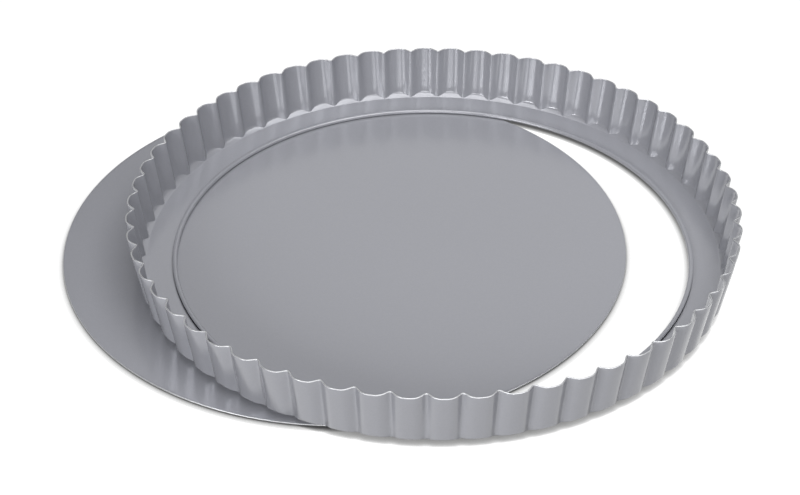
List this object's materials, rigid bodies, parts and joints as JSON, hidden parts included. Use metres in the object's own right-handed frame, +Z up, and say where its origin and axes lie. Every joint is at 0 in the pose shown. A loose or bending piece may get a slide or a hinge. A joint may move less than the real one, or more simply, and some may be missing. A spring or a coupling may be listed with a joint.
{
  "type": "loose-bottom tart pan",
  "caption": "Round tart pan in silver-grey coated steel: a fluted ring with a hemmed flange, lying on its loose flat base.",
  "frame": {"origin": "on the ring's axis, on the base's underside, which is the surface that the pan lies on", "axes": "+Z up along the ring's axis; the base is pulled out towards -X and a little towards +Y"},
  "size_m": [0.3127, 0.2798, 0.0288],
  "materials": {
    "base_coat": "semi-gloss silver-grey non-stick coat with a fine metallic grain",
    "ring_coat": "semi-gloss silver-grey non-stick coat with a fine metallic grain"
  },
  "bodies": {
    "loose_base": {"loose_base": "base_coat"},
    "fluted_ring": {"fluted_ring": "ring_coat"}
  },
  "joints": [
    {"name": "ring_lift", "type": "slide", "parent": "loose_base", "child": "fluted_ring", "axis": [0, 0, 1], "range_m": [0, 0.06]}
  ]
}
